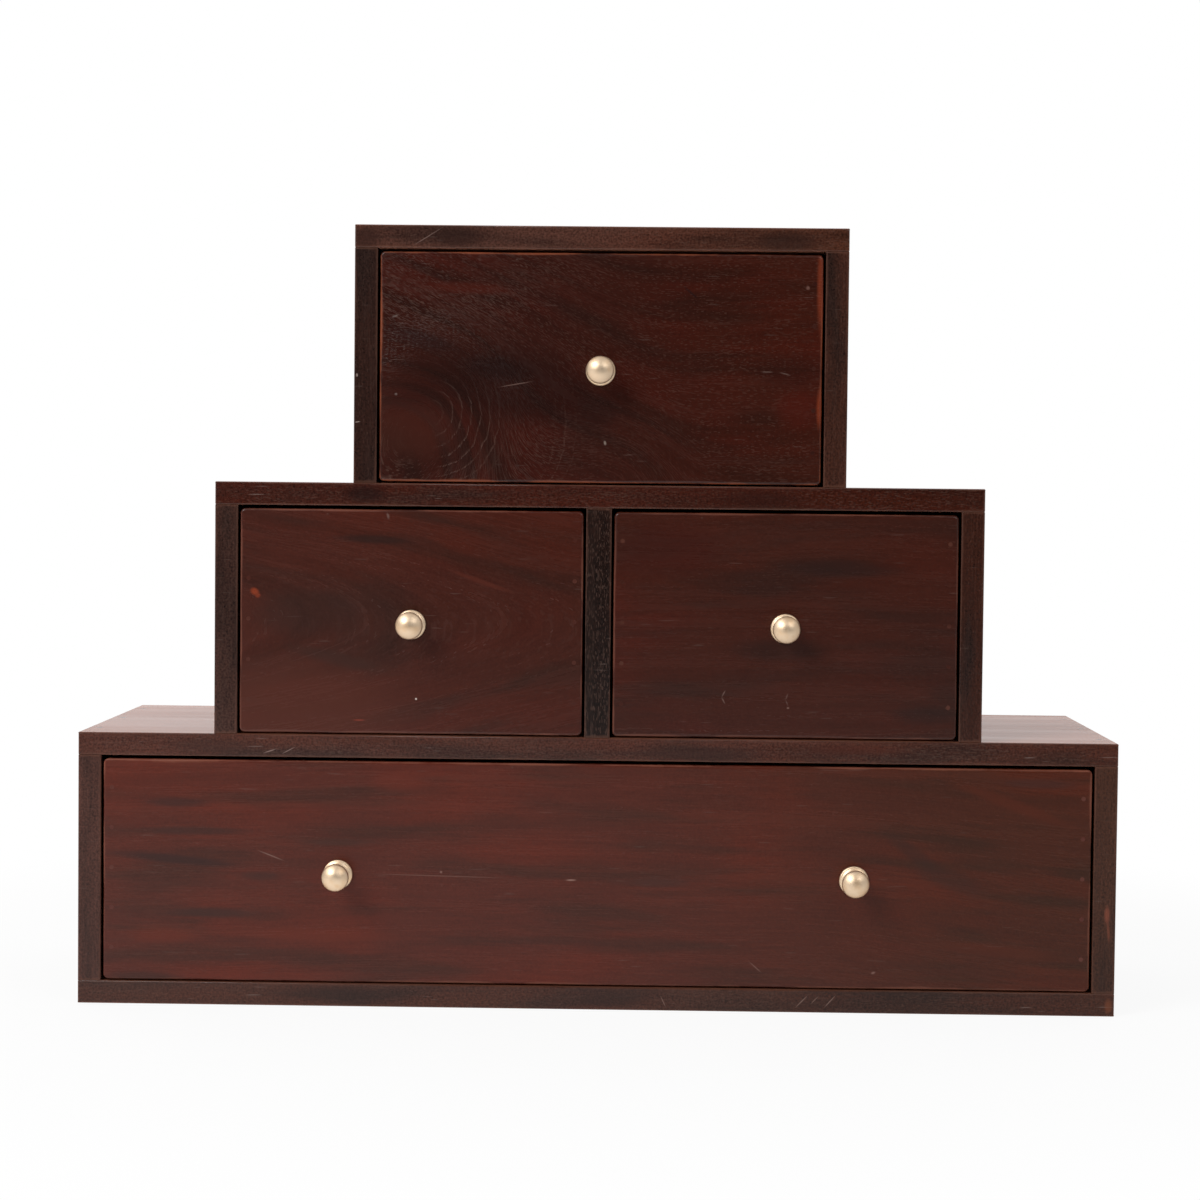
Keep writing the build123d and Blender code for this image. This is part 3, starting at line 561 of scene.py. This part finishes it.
# The face is planed a hair below the filled nail heads
FILLER_LIFT = 0.03 * MM
for drawer, figure in FRONTS.items():
    node = f"{drawer}_front"
    low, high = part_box(node)
    front = eased_front(f"{drawer}_front_board", low + Vector((0, FILLER_LIFT, 0)), high)
    front.data.materials.append(board_finish(
        node, ALONG_X, **{**FRONT_SETTING, **{key: value for key, value in figure.items() if key != "filled"}},
    ))
    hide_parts(node)
    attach(front, drawer)

# Drawer boxes: thinner boards of the same hardwood behind the fronts, sides and back nailed together.
# They were only wiped with thinned stain, so they are paler and drier than the outside.


def coat(node, finish):
    """Gives a CAD piece its finish."""
    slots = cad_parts[node].data.materials
    slots.clear()
    slots.append(finish)


BOX_STAIN = {
    "body": linear("#7A5236"), "smoke": linear("#5C3C28"), "red": linear("#84502F"), "pore": linear("#4A2F20"),
    "worn": linear("#93694A"), "smoke_share": 0.7, "red_share": 0.5, "line_share": 0.3, "pore_share": 0.5,
    "fibre_share": 0.6, "band_share": 0.6, "worn_share": 0.5, "worn_width": 1.0 * MM, "scuff_share": 0.05,
    "arch": 0.02, "wander": 5 * MM, "dullness": 0.42, "speckle_share": 0.3,
}
for i, drawer in enumerate(FRONTS):
    for j, (piece, grain) in enumerate((("side_left", ALONG_Y), ("side_right", ALONG_Y), ("back", ALONG_X))):
        node = f"{drawer}_{piece}"
        shift = 1.1 * i + 0.37 * j
        coat(node, board_finish(
            node, grain, "wiped_hardwood", seed=(shift, 5.0, shift), heart=(shift, 4.9, shift - 0.16), **BOX_STAIN,
        ))

# Plywood: 4 mm sheets, pinned into the rebates behind each tier and slid into the grooves of each drawer.
# Peeled veneer has a wide, wandering figure; it is sanded but left without stain or coat.
PLYWOOD = {
    "body": linear("#A37D55"), "smoke": linear("#8A6642"), "red": linear("#AD8258"), "pore": linear("#6E4E32"),
    "worn": linear("#B08C64"), "smoke_share": 0.45, "red_share": 0.5, "line_share": 0.3, "pore_share": 0.4,
    "fibre_share": 0.6, "band_share": 0.7, "worn_share": 0.3, "worn_width": 1.0 * MM, "scuff_share": 0.0,
    "arch": 0.1, "wander": 22 * MM, "dullness": 0.5, "speckle_share": 0.2,
}
BACKS = ("back_panel_bottom", "back_panel_middle", "back_panel_top")
for i, node in enumerate((*BACKS, *[f"{drawer}_bottom" for drawer in FRONTS])):
    coat(node, board_finish(
        node, ALONG_X, "sanded_plywood", seed=(2.3 * i, 8.0, 1.9 * i), heart=(2.3 * i, 7.95, 1.9 * i - 0.09),
        **PLYWOOD,
    ))

# Nails, pins and screws: bright drawn steel. The pins' heads show on the back panels and under the
# drawers, and the screws' slotted heads inside the drawers; the other nails are sunk and filled over.
steel, tree = new_finish("bright_drawn_steel")
spot = put(tree, "ShaderNodeTexCoord")["Object"]
# Handling leaves a cloudy dullness about 2 mm across on an otherwise bright surface
cloud = put(tree, "ShaderNodeTexNoise", {"Vector": spot, "Scale": 1000 / 2, "Detail": 3.0})[0]
dull = put(tree, "ShaderNodeMapRange", {"Value": cloud, "To Min": 0.22, "To Max": 0.5})[0]
tint = put(tree, "ShaderNodeMix", {0: cloud, 6: linear("#B4B3AF"), 7: linear("#84827E")}, data_type="RGBA")[2]
shader = put(tree, "ShaderNodeBsdfPrincipled", {"Base Color": tint, "Metallic": 1.0, "Roughness": dull})[0]
put(tree, "ShaderNodeOutputMaterial", {"Surface": shader})
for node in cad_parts:
    if node.endswith(("nails", "pins", "screw")):
        coat(node, steel)

# Filler: wood putty pressed over the sunk nail heads, sanded level and stained with the boards. It takes
# the stain unevenly, so one dot shows pale and the next hardly at all.


def putty(name, hidden, share):
    """Stained wood putty: close to the board's own colour where it took the stain, paler where it did not."""
    finish, tree = new_finish(f"stained_wood_putty_{name}")
    spot = put(tree, "ShaderNodeTexCoord")["Object"]
    each = put(tree, "ShaderNodeTexNoise", {"Vector": spot, "Scale": 1000 / 14, "Detail": 0.0})[0]
    pale = put(tree, "ShaderNodeMapRange", {"Value": each, "From Min": 0.42, "From Max": 0.68, "To Max": share},
               interpolation_type="SMOOTHSTEP")[0]
    tint = put(tree, "ShaderNodeMix", {0: pale, 6: hidden, 7: linear("#6C4236")}, data_type="RGBA")[2]
    # Its grit is about half a millimetre across
    grit = put(tree, "ShaderNodeTexNoise", {"Vector": spot, "Scale": 1000 / 0.5, "Detail": 1.0})[0]
    height = put(tree, "ShaderNodeMath", {0: grit, 1: 0.01 * MM}, operation="MULTIPLY")[0]
    relief = put(tree, "ShaderNodeBump", {"Height": height, "Strength": 1.0, "Distance": 1.0})[0]
    shader = put(tree, "ShaderNodeBsdfPrincipled", {
        "Base Color": tint, "Roughness": 0.28, "IOR": SOUND_COAT, "Normal": relief,
    })[0]
    put(tree, "ShaderNodeOutputMaterial", {"Surface": shader})
    return finish


coat("carcass_nail_fillers", putty("carcass", linear("#3A241D"), 0.6))
for drawer, figure in FRONTS.items():
    coat(f"{drawer}_nail_fillers", putty(drawer, figure["body"], figure["filled"]))

# Knobs: turned from brass bar, with a flange, a hollowed neck and a shallow domed head, finished satin
# and lacquered. Each is drawn against its front by a screw from inside the drawer.
ARC_PIECES = 10
STEPS_AROUND = 72
SHARP_CORNER = radians(40)
# The profile runs around a circle of this radius in mm
PATH_RADIUS = 1.0
# Its arcs, each by its start, middle and end: radius and height above the seat, in mm
KNOB_ARCS = (
    ((7.60, 0.00), (8.38, 0.32), (8.70, 1.10)), ((8.70, 1.10), (8.38, 1.88), (7.60, 2.20)),
    ((7.60, 2.20), (4.20, 6.85), (6.10, 11.50)), ((6.10, 11.50), (7.52, 13.33), (8.00, 15.50)),
    ((8.00, 15.50), (7.84, 16.38), (7.38, 17.14)), ((7.38, 17.14), (3.80, 19.73), (0.00, 20.50)),
)
# The bore that the screw runs into, from its blind end to the seat
KNOB_BORE = (0.00, 8.50), (2.05, 8.50), (2.05, 0.00)


def knob_lathe():
    """Turns a profile around an axis and sets the turned knob at each seat, facing the front."""
    tree = bpy.data.node_groups.new("knob_lathe", "GeometryNodeTree")
    for name, kind in (("Seats", "Geometry"), ("Profile", "Object"), ("Path Radius", "Float"),
                       ("Steps Around", "Int"), ("Brass", "Material")):
        tree.interface.new_socket(name, in_out="INPUT", socket_type=f"NodeSocket{kind}")
    tree.interface.new_socket("Knobs", in_out="OUTPUT", socket_type="NodeSocketGeometry")
    knob = put(tree, "NodeGroupInput")
    profile = put(tree, "GeometryNodeObjectInfo", {"Object": knob["Profile"]})["Geometry"]
    length = put(tree, "GeometryNodeSplineParameter")["Length"]
    profile = put(tree, "GeometryNodeStoreNamedAttribute", {"Geometry": profile, "Name": "turned", "Value": length},
                  data_type="FLOAT", domain="POINT")[0]
    path = put(tree, "GeometryNodeCurvePrimitiveCircle", {"Resolution": knob["Steps Around"],
                                                          "Radius": knob["Path Radius"]})["Curve"]
    turned = put(tree, "GeometryNodeCurveToMesh", {"Curve": path, "Profile Curve": profile})[0]
    closed = put(tree, "GeometryNodeMergeByDistance", {"Geometry": turned, "Distance": 0.002 * MM})[0]
    smooth = put(tree, "GeometryNodeSetShadeSmooth", {"Geometry": closed})[0]
    bend = put(tree, "GeometryNodeInputMeshEdgeAngle")["Unsigned Angle"]
    corner = put(tree, "FunctionNodeCompare", {0: bend, 1: SHARP_CORNER}, data_type="FLOAT",
                 operation="GREATER_THAN")[0]
    smooth = put(tree, "GeometryNodeSetShadeSmooth", {"Geometry": smooth, "Selection": corner, "Shade Smooth": False},
                 domain="EDGE")[0]
    placed = put(tree, "GeometryNodeInstanceOnPoints", {
        "Points": knob["Seats"], "Instance": smooth, "Rotation": (-pi / 2, 0.0, 0.0),
    })[0]
    real = put(tree, "GeometryNodeRealizeInstances", {"Geometry": placed})[0]
    made = put(tree, "GeometryNodeSetMaterial", {"Geometry": real, "Material": knob["Brass"]})[0]
    put(tree, "NodeGroupOutput", {"Knobs": made})
    return tree


# Satin-turned brass under lacquer: pale and warm, its highlight spread by fine turning lines around the axis
brass, tree = new_finish("satin_turned_brass")
spot = put(tree, "ShaderNodeTexCoord")["Object"]
turned = put(tree, "ShaderNodeAttribute", attribute_name="turned")["Fac"]
# Turning lines are about 0.1 mm apart on the real knob, drawn 0.5 mm apart here to show
lines = put(tree, "ShaderNodeMath", {0: turned, 1: 1000 / 0.5}, operation="MULTIPLY")[0]
cut = put(tree, "ShaderNodeTexNoise", {"W": lines, "Scale": 1.0, "Detail": 2.0}, noise_dimensions="1D")[0]
tarnish = put(tree, "ShaderNodeTexNoise", {"Vector": spot, "Scale": 1000 / 6, "Detail": 3.0})[0]
cloud = put(tree, "ShaderNodeMapRange", {"Value": tarnish, "From Min": 0.4, "From Max": 0.75, "To Max": 0.5},
            interpolation_type="SMOOTHSTEP")[0]
tint = put(tree, "ShaderNodeMix", {0: cloud, 6: linear("#FFE4C4"), 7: linear("#F0C594")}, data_type="RGBA")[2]
polish = put(tree, "ShaderNodeMapRange", {"Value": cut, "To Min": 0.42, "To Max": 0.52})[0]
groove = put(tree, "ShaderNodeMath", {0: cut, 1: 0.008 * MM}, operation="MULTIPLY")[0]
relief = put(tree, "ShaderNodeBump", {"Height": groove, "Strength": 1.0, "Distance": 1.0})[0]
shader = put(tree, "ShaderNodeBsdfPrincipled", {
    "Base Color": tint, "Specular Tint": linear("#EDB679"), "Metallic": 1.0, "Roughness": polish, "Normal": relief,
})[0]
put(tree, "ShaderNodeOutputMaterial", {"Surface": shader})

outline = [Vector(corner) for corner in (*KNOB_BORE, KNOB_ARCS[0][0])]
for start, middle, end in KNOB_ARCS:
    # The middle point of each arc makes it a quadratic curve that passes through all three
    start, middle, end = Vector(start), Vector(middle), Vector(end)
    pull = 2 * middle - (start + end) / 2
    for i in range(1, ARC_PIECES + 1):
        t = i / ARC_PIECES
        outline.append((1 - t) ** 2 * start + 2 * t * (1 - t) * pull + t * t * end)
line = bpy.data.curves.new("knob_profile", "CURVE")
line.dimensions = "3D"
spline = line.splines.new("POLY")
spline.points.add(len(outline) - 1)
for point, (radius, height) in zip(spline.points, outline):
    point.co = ((radius - PATH_RADIUS) * MM, height * MM, 0.0, 1.0)
profile = add_object("knob_profile", line)
lathe = knob_lathe()
for drawer in FRONTS:
    nodes = [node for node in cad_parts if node.startswith(f"{drawer}_knob") and not node.endswith("screw")]
    seats = bpy.data.meshes.new(f"{drawer}_knob_seats")
    corners = [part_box(node) for node in nodes]
    seats.from_pydata([((low.x + high.x) / 2, high.y, (low.z + high.z) / 2) for low, high in corners], [], [])
    maker = add_object(f"{drawer}_knob_seats", seats)
    turning = maker.modifiers.new("turning", "NODES")
    turning.node_group = lathe
    sizes = {"Profile": profile, "Path Radius": PATH_RADIUS * MM, "Steps Around": STEPS_AROUND, "Brass": brass}
    for item in lathe.interface.items_tree:
        if item.name in sizes:
            turning[item.identifier] = sizes[item.name]
    mesh = bpy.data.meshes.new_from_object(maker.evaluated_get(bpy.context.evaluated_depsgraph_get()))
    bpy.data.objects.remove(maker)
    mesh.name = f"{drawer}_turned_knobs"
    form = bmesh.new()
    form.from_mesh(mesh)
    bmesh.ops.recalc_face_normals(form, faces=form.faces)
    form.to_mesh(mesh)
    form.free()
    knobs = add_object(f"{drawer}_turned_knobs", mesh)
    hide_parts(*nodes)
    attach(knobs, drawer)
bpy.data.objects.remove(profile)

# Studio: a white floor that fades into a white surround, a large soft light at the upper left and a
# weaker one at the right. The room behind the camera is dim, which keeps the dark stain deep.
# The floor reaches 1.6 m in front of the chest, and 4 m behind it and to each side
floor_mesh = bpy.data.meshes.new("studio_floor")
floor_mesh.from_pydata([(-4, -1.6, 0), (4, -1.6, 0), (4, 4, 0), (-4, 4, 0)], [], [(0, 1, 2, 3)])
floor = add_object("studio_floor", floor_mesh)
# White paper: an even white ground that darkens a little around the chest's foot
paper, tree = new_finish("white_paper")
path = put(tree, "ShaderNodeLightPath")
spot = put(tree, "ShaderNodeTexCoord")["Object"]
away = put(tree, "ShaderNodeVectorMath", {0: spot, 1: (0.0, 0.0, 0.0)}, operation="DISTANCE")["Value"]
fade = put(tree, "ShaderNodeMapRange", {"Value": away, "From Min": 0.4, "From Max": 0.75, "To Min": 0.9,
                                        "To Max": 1.0}, interpolation_type="SMOOTHSTEP")[0]
seen = put(tree, "ShaderNodeMath", {0: path["Is Camera Ray"], 1: path["Is Glossy Ray"]}, operation="MAXIMUM")[0]
seen = put(tree, "ShaderNodeMath", {0: seen, 1: path["Is Transmission Ray"]}, operation="MAXIMUM")[0]
fade = put(tree, "ShaderNodeMix", {0: path["Is Camera Ray"], 2: 1.0, 3: fade}, data_type="FLOAT")[0]
share = put(tree, "ShaderNodeMath", {0: fade, 1: seen}, operation="MULTIPLY")[0]
# Mirrored in the coat, the floor is brighter on the side of the large light
across = put(tree, "ShaderNodeSeparateXYZ", {0: spot})[0]
lit = put(tree, "ShaderNodeMapRange", {"Value": across, "From Min": -0.35, "From Max": 0.35, "To Min": 1.0,
                                       "To Max": 0.68})[0]
lit = put(tree, "ShaderNodeMix", {0: path["Is Camera Ray"], 2: lit, 3: 1.0}, data_type="FLOAT")[0]
matt = put(tree, "ShaderNodeBsdfDiffuse", {"Color": (0.9, 0.9, 0.9, 1)})[0]
white = put(tree, "ShaderNodeEmission", {"Color": (1, 1, 1, 1), "Strength": lit})[0]
surface = put(tree, "ShaderNodeMixShader", {0: share, 1: matt, 2: white})[0]
put(tree, "ShaderNodeOutputMaterial", {"Surface": surface})
floor_mesh.materials.append(paper)

world = bpy.data.worlds.new("studio")
bpy.context.scene.world = world
world.use_nodes = True
tree = world.node_tree
tree.nodes.clear()
path = put(tree, "ShaderNodeLightPath")
across, side, _ = put(tree, "ShaderNodeSeparateXYZ", {0: put(tree, "ShaderNodeTexCoord")["Generated"]})
wall = put(tree, "ShaderNodeMapRange", {"Value": side, "From Min": -0.92, "From Max": -0.3, "To Min": 0.03,
                                        "To Max": 0.5}, interpolation_type="SMOOTHSTEP")[0]
back = put(tree, "ShaderNodeMapRange", {"Value": side, "From Min": 0.0, "From Max": 0.5, "To Min": 0.0,
                                        "To Max": 0.5}, interpolation_type="SMOOTHSTEP")[0]
# The surround behind is brighter on the side of the large light, which the left ledge mirrors
bright = put(tree, "ShaderNodeMapRange", {"Value": across, "From Min": -0.15, "From Max": 0.1, "To Min": 1.3,
                                          "To Max": 1.0})[0]
level = put(tree, "ShaderNodeMath", {0: back, 1: bright, 2: wall}, operation="MULTIPLY_ADD")[0]
level = put(tree, "ShaderNodeMix", {0: path["Is Camera Ray"], 2: level, 3: 1.0}, data_type="FLOAT")[0]
glow = put(tree, "ShaderNodeBackground", {"Color": (1, 1, 1, 1), "Strength": level})[0]
put(tree, "ShaderNodeOutputWorld", {"Surface": glow})

LAMP_AIM = Vector((0, 0, 0.2))
for name, spot, size, power in (
    ("key_softbox", (-1.7, -1.9, 2.0), 1.6, 48), ("fill_softbox", (1.5, -2.0, 2.0), 1.6, 14),
):
    lamp = bpy.data.lights.new(name, "AREA")
    lamp.shape = "DISK"
    lamp.size = size
    lamp.energy = power
    softbox = add_object(name, lamp)
    softbox.location = spot
    softbox.rotation_euler = (LAMP_AIM - Vector(spot)).to_track_quat("-Z", "Y").to_euler()

# Camera at the photograph's place: almost level, a little right of centre and very slightly rolled. The
# focus is its focal length in pixels of the photograph, fitted to the chest's corners.
CAMERA_PLACE = (0.0291, -1.7121, 0.3057)
CAMERA_TURN, CAMERA_TILT, CAMERA_ROLL = 0.999, -2.287, 0.592
PHOTO_WIDTH = 1200
PHOTO_FOCUS = 2755.9
SENSOR_WIDTH = 36.0
lens = bpy.data.cameras.new("camera")
lens.sensor_width = SENSOR_WIDTH
lens.lens = SENSOR_WIDTH * PHOTO_FOCUS / PHOTO_WIDTH
lens.clip_start = 0.05
camera = add_object("camera", lens)
camera.matrix_world = (
    Matrix.Translation(CAMERA_PLACE)
    @ Matrix.Rotation(radians(CAMERA_TURN), 4, "Z")
    @ Matrix.Rotation(radians(90 + CAMERA_TILT), 4, "X")
    @ Matrix.Rotation(radians(CAMERA_ROLL), 4, "Z")
)
bpy.context.scene.camera = camera
bpy.context.scene.view_settings.view_transform = "Standard"
